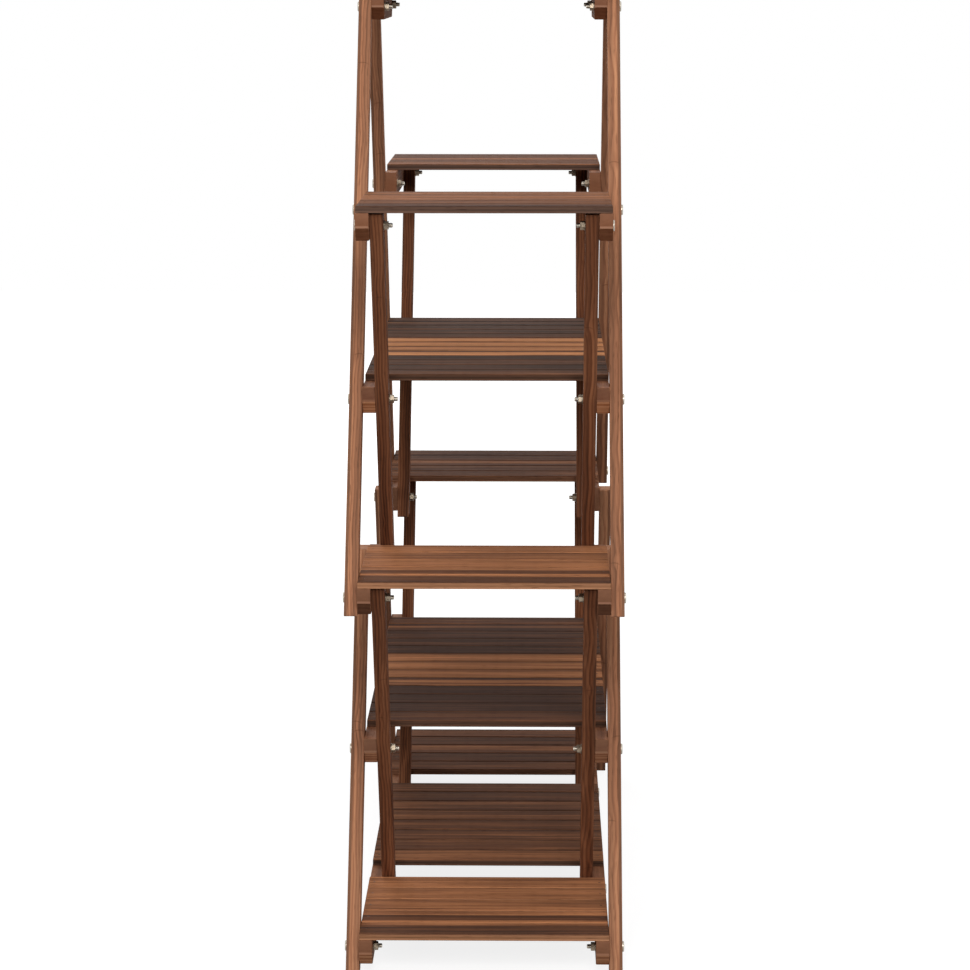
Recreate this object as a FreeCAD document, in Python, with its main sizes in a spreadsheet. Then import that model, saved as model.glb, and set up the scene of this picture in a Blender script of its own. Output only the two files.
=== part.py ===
import FreeCAD, Part
import Sketcher
import math
import os

# Six-level wooden plant stand, in millimetres.
# X runs along the length with the front end at +X, Y across it, Z up. The origin lies on the floor
# under the middle of the stand. Each side has three layers, from the outside in: an outer leg, a rail
# and an inner leg. Bolts pass through the layers where they cross, and slats lie across the rails.

doc = FreeCAD.newDocument("PlantStand")
sheet = doc.addObject("Spreadsheet::Sheet", "Sizes")

SIZES = {
    "side_width": (280.0, "outer face to outer face of the outer legs"),
    "leg_thickness": (13.5, "leg, across the stand"),
    "leg_width": (28.0, "leg, square to its length"),
    "rail_thickness": (13.5, "rail, across the stand"),
    "rail_height": (28.0, "rail, top to bottom"),
    "rail_chamfer": (13.0, "cut on the lower corner of an outer rail end"),
    "edge_round": (0.9, "rounded edge of every wooden piece"),
    "end_joint_x": (445.5, "middle of the stand to the end bolts"),
    "inboard_joint_x": (222.0, "middle of the stand to the inboard bolts"),
    "rail_overhang": (31.0, "end bolt to the outer end of a rail"),
    "inboard_overhang": (18.0, "inboard or crossing bolt to the end of a rail"),
    "foot_drop": (25.0, "bottom bolts above the floor"),
    "lower_rise": (180.0, "one level to the next, bottom to third"),
    "upper_rise": (186.5, "one level to the next, third to fifth"),
    "top_rise": (210.0, "fifth level to the top"),
    "leg_top_rise": (12.5, "bolt to the level cut at the top of a leg"),
    "outer_leg_drop": (15.0, "bolt to the level cut at the foot of an upper outer leg"),
    "inner_leg_drop": (20.0, "bolt to the level cut at the foot of an upper inner leg"),
    "slat_width": (41.5, "slat, along the stand"),
    "slat_gap": (4.0, "between two slats"),
    "slat_thickness": (7.0, "slat, top to bottom"),
    "slat_end_clearance": (0.5, "slat end to the inner face of an outer leg"),
    "short_shelf_slats": (5.0, "slats in an end shelf or the top shelf"),
    "middle_shelf_slats": (8.0, "slats in the middle shelf of the bottom level"),
    "long_shelf_slats": (13.0, "slats in the second and fourth level"),
    "bolt_diameter": (5.0, "shank of a bolt"),
    "bolt_hole_clearance": (0.3, "hole in the wood over the bolt, on the diameter"),
    "bolt_tail": (3.9, "bolt end past its nut"),
    "head_diameter": (11.0, "low round bolt head"),
    "head_height": (2.0, "crown of the bolt head over the wood"),
    "head_rim": (0.8, "straight rim of the bolt head"),
    "socket_flats": (3.0, "hexagon socket in the bolt head, across flats"),
    "socket_depth": (1.3, "hexagon socket in the bolt head"),
    "nut_flats": (8.0, "nut, across flats"),
    "nut_height": (4.0, "nut, along the bolt"),
    "nut_bore_clearance": (0.2, "bore of the nut over the bolt, on the diameter"),
    "washer_diameter": (10.0, "washer"),
    "washer_thickness": (1.0, "washer"),
    "washer_bore_clearance": (0.4, "bore of the washer over the bolt, on the diameter"),
    "nail_diameter": (1.6, "slat nail"),
    "nail_bite": (9.0, "slat nail in the rail"),
    "nail_head_diameter": (2.8, "head of a slat nail"),
    "nail_head_height": (0.8, "head of a slat nail"),
    "nail_sink": (0.2, "nail head below the top of the slat"),
    "nail_clearance": (0.2, "hole over the nail and its head, on the diameter"),
}

for row, (alias, (value, note)) in enumerate(SIZES.items(), start=1):
    sheet.set(f"A{row}", alias)
    sheet.set(f"B{row}", str(value))
    sheet.set(f"C{row}", note)
    sheet.setAlias(f"B{row}", alias)
doc.recompute()


# A size holds a value and the expression that gives it in the document
class Size:
    def __init__(self, text, value):
        self.text = text
        self.value = value

    def joined(self, sign, other, value):
        return Size(f"({self.text} {sign} {other.text})", value)

    def __add__(self, other):
        other = as_size(other)
        return self.joined("+", other, self.value + other.value)

    def __sub__(self, other):
        other = as_size(other)
        return self.joined("-", other, self.value - other.value)

    def __mul__(self, other):
        other = as_size(other)
        return self.joined("*", other, self.value * other.value)

    def __truediv__(self, other):
        other = as_size(other)
        return self.joined("/", other, self.value / other.value)

    def __neg__(self):
        return Size(f"(0 - {self.text})", -self.value)

    def __radd__(self, other):
        return as_size(other) + self

    def __rsub__(self, other):
        return as_size(other) - self

    def __rmul__(self, other):
        return as_size(other) * self

    def root(self):
        return Size(f"sqrt({self.text})", math.sqrt(self.value))


def as_size(number):
    return number if isinstance(number, Size) else Size(str(number), float(number))


def size(alias):
    return Size(f"Sizes.{alias}", float(sheet.get(alias)))


leg_thickness = size("leg_thickness")
leg_width = size("leg_width")
rail_thickness = size("rail_thickness")
rail_height = size("rail_height")
end_x = size("end_joint_x")
inboard_x = size("inboard_joint_x")
crossing_x = (end_x + inboard_x) / 2
slat_width = size("slat_width")
slat_gap = size("slat_gap")
slat_thickness = size("slat_thickness")

# Bolt heights of the six levels
bottom_z = size("foot_drop")
second_z = bottom_z + size("lower_rise")
third_z = second_z + size("lower_rise")
fourth_z = third_z + size("upper_rise")
fifth_z = fourth_z + size("upper_rise")
top_z = fifth_z + size("top_rise")

# Distance back along the stand for each millimetre that a leg rises
upper_lean = (end_x - inboard_x) / (fifth_z - third_z)
lower_lean = (end_x - inboard_x) / (third_z - bottom_z)
top_x = end_x - upper_lean * (top_z - third_z)

# Faces of the layers on one side, measured from the middle of the stand
outer_leg_out = size("side_width") / 2
outer_leg_in = outer_leg_out - leg_thickness
rail_in = outer_leg_in - rail_thickness
inner_leg_in = rail_in - leg_thickness

bolt_hole = size("bolt_diameter") + size("bolt_hole_clearance")
slat_pitch = slat_width + slat_gap
slat_reach = outer_leg_in - size("slat_end_clearance")
nail_y = outer_leg_in - rail_thickness / 2
nail_hole = size("nail_diameter") + size("nail_clearance")
nail_head_hole = size("nail_head_diameter") + size("nail_clearance")

# The crown of a bolt head is an arc whose middle point lies at this share of the head's radius
crown_middle_share = 0.55

SIDES = {"left": -1, "right": 1}
ENDS = {"front": 1, "rear": -1}


# Sketches and features
def origin_feature(body, role):
    return next(feature for feature in body.Origin.OriginFeatures if feature.Role == role)


def new_sketch(body, role, name):
    sketch = body.newObject("Sketcher::SketchObject", name)
    sketch.AttachmentSupport = [(origin_feature(body, role), "")]
    sketch.MapMode = "FlatFace"
    return sketch


def pin(sketch, geometry, point, across, up):
    for kind, place, axis in (("DistanceX", across, -2), ("DistanceY", up, -1)):
        if place.value == 0:
            sketch.addConstraint(Sketcher.Constraint("PointOnObject", geometry, point, axis))
        else:
            given = Sketcher.Constraint(kind, -1, 1, geometry, point, place.value)
            index = sketch.addConstraint(given)
            sketch.setExpression(f"Constraints[{index}]", place.text)


def draw_outline(sketch, corners):
    points = [FreeCAD.Vector(across.value, up.value, 0) for across, up in corners]
    following = points[1:] + points[:1]
    sketch.addGeometry([Part.LineSegment(a, b) for a, b in zip(points, following)], False)
    count = len(points)
    for line in range(count):
        sketch.addConstraint(Sketcher.Constraint("Coincident", line, 2, (line + 1) % count, 1))
    for line, (across, up) in enumerate(corners):
        pin(sketch, line, 1, across, up)


def draw_circles(sketch, centres, diameter):
    for across, up in centres:
        centre = FreeCAD.Vector(across.value, up.value, 0)
        circle = Part.Circle(centre, FreeCAD.Vector(0, 0, 1), diameter.value / 2)
        index = sketch.addGeometry(circle, False)
        pin(sketch, index, 3, across, up)
        given = sketch.addConstraint(Sketcher.Constraint("Diameter", index, diameter.value))
        sketch.setExpression(f"Constraints[{given}]", diameter.text)


def new_body(label):
    body = doc.addObject("PartDesign::Body", label)
    body.Label = label
    return body


def pad_rounded(body, sketch, thickness, backwards):
    pad = body.newObject("PartDesign::Pad", "Blank")
    pad.Profile = sketch
    pad.Reversed = backwards
    pad.setExpression("Length", thickness.text)
    doc.recompute()
    rounding = body.newObject("PartDesign::Fillet", "Rounding")
    rounding.Base = (pad, [""])
    rounding.UseAllEdges = True
    rounding.setExpression("Radius", "Sizes.edge_round")
    doc.recompute()
    return rounding


def bore_through(body, centres, diameter, role, name):
    sketch = new_sketch(body, role, name)
    draw_circles(sketch, centres, diameter)
    doc.recompute()
    before = body.Shape.Volume
    pocket = body.newObject("PartDesign::Pocket", name + "_cut")
    pocket.Profile = sketch
    pocket.Type = "ThroughAll"
    pocket.Reversed = role == "XY_Plane"
    doc.recompute()
    if not body.Shape.Volume < before:
        raise ValueError(f"{body.Label}: {name} cuts nothing")


def bore_down(body, centres, diameter, height, depth, name):
    sketch = new_sketch(body, "XY_Plane", name)
    sketch.setExpression("AttachmentOffset.Base.z", height.text)
    draw_circles(sketch, centres, diameter)
    doc.recompute()
    before = body.Shape.Volume
    pocket = body.newObject("PartDesign::Pocket", name + "_cut")
    pocket.Profile = sketch
    pocket.setExpression("Length", depth.text)
    doc.recompute()
    if not body.Shape.Volume < before:
        raise ValueError(f"{body.Label}: {name} cuts nothing")


# A flat piece is drawn for the front end with its inner or left face on the sketch plane, and stands
# at the rear after half a turn about the upright axis
def stand_at(body, side, end, out, inside):
    turn = 0 if end > 0 else 180
    body.Placement.Rotation = FreeCAD.Rotation(FreeCAD.Vector(0, 0, 1), turn)
    if side > 0:
        place = inside if end > 0 else out
    else:
        place = -out if end > 0 else -inside
    body.setExpression("Placement.Base.y", place.text)


# Legs
def level_cut(x, z, lean, height):
    half = leg_width / 2 * (1 + lean * lean).root()
    middle = x + lean * (height - z)
    return (middle - half, height), (middle + half, height)


def leg(label, side, end, out, lean, lower, upper, joints):
    body = new_body(label)
    sketch = new_sketch(body, "XZ_Plane", "Outline")
    (low_x, low_z, low_cut), (high_x, high_z, high_cut) = lower, upper
    low_back, low_front = level_cut(low_x, low_z, lean, low_cut)
    high_back, high_front = level_cut(high_x, high_z, lean, high_cut)
    draw_outline(sketch, [low_back, low_front, high_front, high_back])
    pad_rounded(body, sketch, leg_thickness, True)
    bore_through(body, joints, bolt_hole, "XZ_Plane", "Bolt_holes")
    stand_at(body, side, end, out, out - leg_thickness)
    return body


def make_legs(side_name, side, end_name, end):
    ending = f"{end_name}_{side_name}"
    floor = as_size(0)
    top_cut = size("leg_top_rise")
    upper_outer = leg(
        f"upper_outer_leg_{ending}", side, end, outer_leg_out, -upper_lean,
        (end_x, third_z, third_z - size("outer_leg_drop")), (top_x, top_z, top_z + top_cut),
        [(end_x, third_z), (crossing_x, fourth_z), (inboard_x, fifth_z), (top_x, top_z)])
    lower_outer = leg(
        f"lower_outer_leg_{ending}", side, end, outer_leg_out, -lower_lean,
        (end_x, bottom_z, floor), (inboard_x, third_z, third_z + top_cut),
        [(end_x, bottom_z), (crossing_x, second_z), (inboard_x, third_z)])
    upper_inner = leg(
        f"upper_inner_leg_{ending}", side, end, rail_in, upper_lean,
        (inboard_x, third_z, third_z - size("inner_leg_drop")), (end_x, fifth_z, fifth_z + top_cut),
        [(inboard_x, third_z), (crossing_x, fourth_z), (end_x, fifth_z)])
    lower_inner = leg(
        f"lower_inner_leg_{ending}", side, end, rail_in, lower_lean,
        (inboard_x, bottom_z, floor), (end_x, third_z, third_z + top_cut),
        [(inboard_x, bottom_z), (crossing_x, second_z), (end_x, third_z)])
    return [upper_outer, lower_outer, upper_inner, lower_inner]


# Rails
def rail(label, side, end, height, back, front, cut_back, cut_front, joints, slats):
    body = new_body(label)
    sketch = new_sketch(body, "XZ_Plane", "Outline")
    top = height + rail_height / 2
    bottom = height - rail_height / 2
    chamfer = size("rail_chamfer")
    corners = [(back + chamfer, bottom)] if cut_back else [(back, bottom)]
    corners += [(front - chamfer, bottom), (front, bottom + chamfer)] if cut_front else [(front, bottom)]
    corners += [(front, top), (back, top)]
    corners += [(back, bottom + chamfer)] if cut_back else []
    draw_outline(sketch, corners)
    pad_rounded(body, sketch, rail_thickness, True)
    bore_through(body, [(x, height) for x in joints], bolt_hole, "XZ_Plane", "Bolt_holes")
    across = rail_thickness / 2
    nails = [(x, across) for x in slats]
    bore_down(body, nails, nail_hole, top, size("nail_bite"), "Nail_holes")
    stand_at(body, side, end, outer_leg_in, rail_in)
    return body


# Middles of the slats of one shelf, from its back edge to its front edge
def slat_middles(front_edge, count):
    first = front_edge - slat_width / 2 - (count - 1) * slat_pitch
    return [first + step * slat_pitch for step in range(count)]


# Half the length of a row of slats about the middle of the stand
def half_row(count):
    return (count * slat_pitch - slat_gap) / 2


def centred_shelf(count):
    return slat_middles(half_row(count), count)


short_count = round(size("short_shelf_slats").value)
middle_count = round(size("middle_shelf_slats").value)
long_count = round(size("long_shelf_slats").value)
rail_end = end_x + size("rail_overhang")
end_shelf = slat_middles(rail_end, short_count)
far_shelf = [-x for x in end_shelf]

# The top rails end flush with the outer slats
top_rail_end = half_row(short_count)


def make_rails(side_name, side):
    crossing_end = crossing_x + size("inboard_overhang")
    inboard_end = inboard_x - size("inboard_overhang")
    rails = [
        rail(f"bottom_rail_{side_name}", side, 1, bottom_z, -rail_end, rail_end, True, True,
             [-end_x, -inboard_x, inboard_x, end_x],
             far_shelf + centred_shelf(middle_count) + end_shelf),
        rail(f"second_level_rail_{side_name}", side, 1, second_z, -crossing_end, crossing_end, True, True,
             [-crossing_x, crossing_x], centred_shelf(long_count)),
        rail(f"fourth_level_rail_{side_name}", side, 1, fourth_z, -crossing_end, crossing_end, True, True,
             [-crossing_x, crossing_x], centred_shelf(long_count)),
        rail(f"top_rail_{side_name}", side, 1, top_z, -top_rail_end, top_rail_end, True, True,
             [-top_x, top_x], centred_shelf(short_count)),
    ]
    for level, height in (("third", third_z), ("fifth", fifth_z)):
        for end_name, end in ENDS.items():
            label = f"{level}_level_{end_name}_rail_{side_name}"
            rails.append(rail(label, side, end, height, inboard_end, rail_end, False, True,
                              [inboard_x, end_x], end_shelf))
    return rails


# Shelves: one slat is drawn at the back edge and repeated towards the front
def shelf(label, height, end, middles):
    body = new_body(label)
    base = height + rail_height / 2
    back = middles[0] - slat_width / 2
    front = middles[0] + slat_width / 2
    sketch = new_sketch(body, "XY_Plane", "Outline")
    draw_outline(sketch, [(back, -slat_reach), (front, -slat_reach),
                          (front, slat_reach), (back, slat_reach)])
    pad_rounded(body, sketch, slat_thickness, False)
    nails = [(middles[0], -nail_y), (middles[0], nail_y)]
    head_room = size("nail_head_height") + size("nail_sink")
    bore_through(body, nails, nail_hole, "XY_Plane", "Nail_holes")
    bore_down(body, nails, nail_head_hole, slat_thickness, head_room, "Nail_head_seats")
    row = body.newObject("PartDesign::LinearPattern", "Row")
    row.TransformMode = "Whole shape"
    row.Direction = (origin_feature(body, "X_Axis"), [""])
    row.Occurrences = len(middles)
    row.setExpression("Length", ((len(middles) - 1) * slat_pitch).text)
    body.Tip = row
    doc.recompute()
    turn = 0 if end > 0 else 180
    body.Placement.Rotation = FreeCAD.Rotation(FreeCAD.Vector(0, 0, 1), turn)
    body.setExpression("Placement.Base.z", base.text)
    return body


# Each shelf: its level's bolt height, the end that it stands at and the middles of its slats
SHELVES = {
    "bottom_front_shelf": (bottom_z, 1, end_shelf),
    "bottom_middle_shelf": (bottom_z, 1, centred_shelf(middle_count)),
    "bottom_rear_shelf": (bottom_z, -1, end_shelf),
    "second_level_shelf": (second_z, 1, centred_shelf(long_count)),
    "third_level_front_shelf": (third_z, 1, end_shelf),
    "third_level_rear_shelf": (third_z, -1, end_shelf),
    "fourth_level_shelf": (fourth_z, 1, centred_shelf(long_count)),
    "fifth_level_front_shelf": (fifth_z, 1, end_shelf),
    "fifth_level_rear_shelf": (fifth_z, -1, end_shelf),
    "top_shelf": (top_z, 1, centred_shelf(short_count)),
}

wooden = []
for side_name, side in SIDES.items():
    for end_name, end in ENDS.items():
        wooden += make_legs(side_name, side, end_name, end)
    wooden += make_rails(side_name, side)
for label, (height, end, middles) in SHELVES.items():
    wooden.append(shelf(label, height, end, middles))

# Bolted joints on one end of one side: place, height, and the outermost and innermost face clamped
LONG_JOINTS = [(end_x, third_z), (inboard_x, third_z), (crossing_x, second_z), (crossing_x, fourth_z)]
OUTER_JOINTS = [(end_x, bottom_z), (inboard_x, fifth_z), (top_x, top_z)]
INNER_JOINTS = [(inboard_x, bottom_z), (end_x, fifth_z)]
CLAMPED = {
    "long_bolts": (LONG_JOINTS, outer_leg_out, inner_leg_in),
    "short_bolts_outer_legs": (OUTER_JOINTS, outer_leg_out, rail_in),
    "short_bolts_inner_legs": (INNER_JOINTS, outer_leg_in, inner_leg_in),
}
OUTWARD = FreeCAD.Vector(0, 1, 0)
UPWARD = FreeCAD.Vector(0, 0, 1)
MIDDLE = FreeCAD.Vector(0, 0, 0)


def value(alias):
    return size(alias).value


def hexagon(flats, height):
    corner = flats / math.sqrt(3)
    turns = [number * math.pi / 3 for number in range(6)]
    points = [FreeCAD.Vector(corner * math.cos(turn), 0, corner * math.sin(turn)) for turn in turns]
    face = Part.Face(Part.makePolygon(points + points[:1]))
    return face.extrude(OUTWARD * height)


# The crown of the bolt head lies outward of the plane where its rim meets the wood
def bolt_shape(length):
    radius = value("head_diameter") / 2
    rim = value("head_rim")
    crown = value("head_height")
    bulge = rim + (crown - rim) * (1 - crown_middle_share * crown_middle_share)
    edge = [
        Part.LineSegment(MIDDLE, FreeCAD.Vector(radius, 0, 0)),
        Part.LineSegment(FreeCAD.Vector(radius, 0, 0), FreeCAD.Vector(radius, rim, 0)),
        Part.Arc(FreeCAD.Vector(radius, rim, 0), FreeCAD.Vector(radius * crown_middle_share, bulge, 0),
                 FreeCAD.Vector(0, crown, 0)),
        Part.LineSegment(FreeCAD.Vector(0, crown, 0), MIDDLE),
    ]
    profile = Part.Face(Part.Wire([piece.toShape() for piece in edge]))
    head = profile.revolve(MIDDLE, OUTWARD, 360)
    socket = hexagon(value("socket_flats"), crown)
    socket.translate(OUTWARD * (crown - value("socket_depth")))
    shank = Part.makeCylinder(value("bolt_diameter") / 2, length, MIDDLE, -OUTWARD)
    return head.cut(socket).fuse(shank).removeSplitter()


def washer_shape():
    outer = Part.makeCylinder(value("washer_diameter") / 2, value("washer_thickness"), MIDDLE, -OUTWARD)
    bore = value("bolt_diameter") + value("washer_bore_clearance")
    return outer.cut(Part.makeCylinder(bore / 2, value("washer_thickness"), MIDDLE, -OUTWARD))


# The corners of the nut are turned off where its two flat faces meet them
def nut_shape():
    height = value("nut_height")
    flats = value("nut_flats")
    corner = flats / math.sqrt(3)
    lean = (corner - flats / 2) / math.sqrt(3)
    blank = hexagon(flats, height)
    blank.translate(-OUTWARD * height)
    edge = [FreeCAD.Vector(0, 0, 0), FreeCAD.Vector(flats / 2, 0, 0), FreeCAD.Vector(corner, -lean, 0),
            FreeCAD.Vector(corner, lean - height, 0), FreeCAD.Vector(flats / 2, -height, 0),
            FreeCAD.Vector(0, -height, 0)]
    turned = Part.Face(Part.makePolygon(edge + edge[:1])).revolve(MIDDLE, OUTWARD, 360)
    bore = value("bolt_diameter") + value("nut_bore_clearance")
    return blank.common(turned).cut(Part.makeCylinder(bore / 2, height, MIDDLE, -OUTWARD))


def nail_shape(length):
    head_height = value("nail_head_height")
    head = Part.makeCylinder(value("nail_head_diameter") / 2, head_height, MIDDLE, -UPWARD)
    shank = Part.makeCylinder(value("nail_diameter") / 2, length, MIDDLE, -UPWARD)
    return head.fuse(shank).removeSplitter()


# A shape made for the right side, set at a place and turned for the left side
def placed(shape, side, end, x, y, z):
    copy = shape.copy()
    if side < 0:
        copy.rotate(MIDDLE, UPWARD, 180)
    copy.translate(FreeCAD.Vector(end * x, side * y, z))
    return copy


def group(label, shapes):
    piece = doc.addObject("Part::Feature", label)
    piece.Label = label
    piece.Shape = Part.makeCompound(shapes)
    return piece


def at_joints(shape, joints, y):
    return [placed(shape, side, end, x.value, y, z.value)
            for x, z in joints for side in SIDES.values() for end in ENDS.values()]


washers = []
nuts = []
fastened = []
for label, (joints, out, inside) in CLAMPED.items():
    nut_face = inside.value - value("washer_thickness")
    tail = value("washer_thickness") + value("nut_height") + value("bolt_tail")
    length = out.value - inside.value + tail
    fastened.append(group(label, at_joints(bolt_shape(length), joints, out.value)))
    washers += at_joints(washer_shape(), joints, inside.value)
    nuts += at_joints(nut_shape(), joints, nut_face)
fastened.append(group("washers", washers))
fastened.append(group("nuts", nuts))

nails = []
for height, end, middles in SHELVES.values():
    # A nail ends as far above the bottom of its hole as its head lies below the top of the slat
    rail_top = height.value + rail_height.value / 2
    head_top = rail_top + slat_thickness.value - value("nail_sink")
    length = head_top - rail_top + value("nail_bite") - value("nail_sink")
    for x in middles:
        nails += [placed(nail_shape(length), side, end, x.value, nail_y.value, head_top)
                  for side in SIDES.values()]
fastened.append(group("slat_nails", nails))

doc.recompute()
for thing in doc.Objects:
    if "Invalid" in thing.State or "Error" in thing.State:
        raise ValueError(f"{thing.Label}: {thing.State}")

os.makedirs("parts", exist_ok=True)
for piece in wooden + fastened:
    if piece.Shape.isNull() or not piece.Shape.isValid():
        raise ValueError(f"{piece.Label}: no valid shape")
for piece in wooden + fastened:
    piece.Shape.exportStep(f"parts/{piece.Label}.step")
    print(piece.Label, len(piece.Shape.Solids), "solids")
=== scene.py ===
import math
import random

import bpy
from mathutils import Matrix, Vector


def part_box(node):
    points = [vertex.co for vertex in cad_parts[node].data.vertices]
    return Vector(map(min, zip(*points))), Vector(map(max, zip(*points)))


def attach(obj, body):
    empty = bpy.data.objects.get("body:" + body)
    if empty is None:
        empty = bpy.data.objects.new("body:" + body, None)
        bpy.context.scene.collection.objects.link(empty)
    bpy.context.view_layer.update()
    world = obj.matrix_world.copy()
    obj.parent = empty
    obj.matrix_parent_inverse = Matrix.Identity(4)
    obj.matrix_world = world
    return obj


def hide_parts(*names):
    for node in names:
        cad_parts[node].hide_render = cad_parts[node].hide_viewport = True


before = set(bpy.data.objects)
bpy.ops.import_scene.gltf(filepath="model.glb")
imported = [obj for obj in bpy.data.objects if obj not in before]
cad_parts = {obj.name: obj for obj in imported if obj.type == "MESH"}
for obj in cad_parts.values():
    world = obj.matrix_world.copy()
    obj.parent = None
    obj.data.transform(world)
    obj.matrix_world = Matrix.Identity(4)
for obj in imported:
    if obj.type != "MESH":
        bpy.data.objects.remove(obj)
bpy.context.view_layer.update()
MM = 0.001

# sizes of the wood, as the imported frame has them
LEG_WIDTH = 28 * MM
LEG_THICKNESS = 13.5 * MM
RAIL_HEIGHT = 28 * MM
RAIL_CHAMFER = 13 * MM
SLAT_WIDTH = 41.5 * MM
SLAT_GAP = 4 * MM
SLAT_THICKNESS = 7 * MM

# how fine each pattern in a leg or rail is, in waves a metre: across, through and along the grain
LONG_WANDER = (9, 9, 3.2)
SHORT_WANDER = (22, 22, 13)
STREAKS = (130, 130, 2.4)
FIBRES = (900, 900, 14)
PORES = (1500, 1500, 70)
PATCHES = (14, 14, 5)
RUBBING = (60, 60, 26)
CHAMFER_BANDS = 380

# the same for a slat, whose grain runs from side to side: forward, sideways and up
SLAT_WANDER = (14, 6.5, 12)
SLAT_STREAKS = (95, 5.5, 200)
SLAT_FIBRES = (900, 14, 900)
SLAT_PORES = (1500, 70, 1500)

# growth rings
RAIL_RING_GAP = 4.2 * MM
LEG_RING_GAP = 3.1 * MM
SLAT_RING_GAP = 3.6 * MM
SLAT_HEART_HEIGHT = 18 * MM
LATE_WOOD_MEAN = 0.35

# the lacquer and what stands up or lies open in it
RELIEF_DEPTH = 0.05 * MM
LACQUER_IOR = 1.45

# the plated steel, in waves a metre
WORN_PATCHES = 420
TURNING_MARKS = (900, 4200, 900)

# sizes of the ironmongery
BOLT_RADIUS = 2.5 * MM
THREAD_PITCH = 0.8 * MM
THREAD_DEPTH = 0.42 * MM
THREAD_TURNS = 11
THREAD_RUNOUT = 0.45 * MM
THREAD_SIDES = 16
CORE_OVERLAP = 0.02 * MM
CORE_PAST_THREAD = 1.1
SHANK_IN_HEAD = 0.2
TIP_CHAMFER = 0.4 * MM
HEAD_RADIUS = 5.5 * MM
HEAD_THICKNESS = 2 * MM
HEAD_DOME_SHARE = 0.62
HEAD_DOME_PROFILE = 0.62
HEAD_DOME_STEPS = 5
SOCKET_FLATS = 3 * MM
SOCKET_DEPTH = 1.3 * MM
NUT_FLATS = 8 * MM
NUT_FACE_SHARE = 0.97
NUT_CORNER_CONE = math.radians(30)
NUT_BLANK_ROOM = 0.1 * MM
NUT_THREAD_SHARE = 0.6
WASHER_HOLE_SHARE = 0.53
WASHER_ROUNDING = 0.14 * MM
ROUND_SIDES = 32
SMOOTH_BELOW = math.radians(32)
SAME_POINT = 0.01 * MM

# the photograph's view: one end of the stand from a little above its top
PICTURE_WIDTH = 970
CAMERA_PLACE = (3.8851, 0.0521, 1.0116)
CAMERA_FOCUS_PIXELS = 3487.1
CAMERA_PITCH = 0.1479
CAMERA_YAW = 0.0150
SENSOR_WIDTH = 36

# the plain studio: lamps with their place, size and watts, all turned to the stand's middle
LAMPS = {"front_lamp": ((4.4, 0.1, 2.5), 1.8, 150),
         "overhead_lamp": ((0.2, 0.0, 3.4), 2.4, 26),
         "rear_lamp": ((-4.2, -1.0, 2.4), 2.2, 74),
         "left_lamp": ((0.6, -3.4, 1.7), 2.0, 30),
         "right_lamp": ((-0.4, 3.4, 1.7), 2.0, 30)}
LAMPS_LOOK_AT = (0, 0, 0.5)
ROOM_LIGHT = 0.24
FLOOR_SIZE = 14
FLOOR_GREYS = (0.25, 0.27)
FLOOR_GLOW = 0.84
FLOOR_GLOW_AWAY = 0.3
WHITE = (1, 1, 1, 1)


# materials
def tint(red, green, blue):
    """A colour as seen on a screen, 0 to 255, in the shader's linear light."""
    shades = []
    for part in (red, green, blue):
        part /= 255
        shades.append(part / 12.92 if part <= 0.04045 else ((part + 0.055) / 1.055) ** 2.4)
    return (*shades, 1)


class Value:
    """A number that changes over a surface: sums and products of it add their Math nodes."""

    def __init__(self, finish, socket):
        self.finish = finish
        self.socket = socket

    def math(self, operation, *others, **settings):
        numbers = dict(enumerate((self, *others)))
        return self.finish.node("ShaderNodeMath", {"operation": operation, **settings}, numbers)

    def __add__(self, other):
        return self.math("ADD", other)

    def __sub__(self, other):
        return self.math("SUBTRACT", other)

    def __mul__(self, other):
        return self.math("MULTIPLY", other)

    def __truediv__(self, other):
        return self.math("DIVIDE", other)

    def __rsub__(self, other):
        return (self * -1) + other

    __radd__ = __add__
    __rmul__ = __mul__

    def size(self):
        return self.math("ABSOLUTE")

    def power(self, exponent):
        return self.math("POWER", exponent)

    def within(self):
        return self.math("ADD", 0, use_clamp=True)

    def step(self, start, end):
        """0 before start, 1 past end, smooth between; start may be the larger."""
        return self.finish.node("ShaderNodeMapRange", {"interpolation_type": "SMOOTHSTEP"},
                                {"Value": self, "From Min": start, "From Max": end}, "Result")


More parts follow.
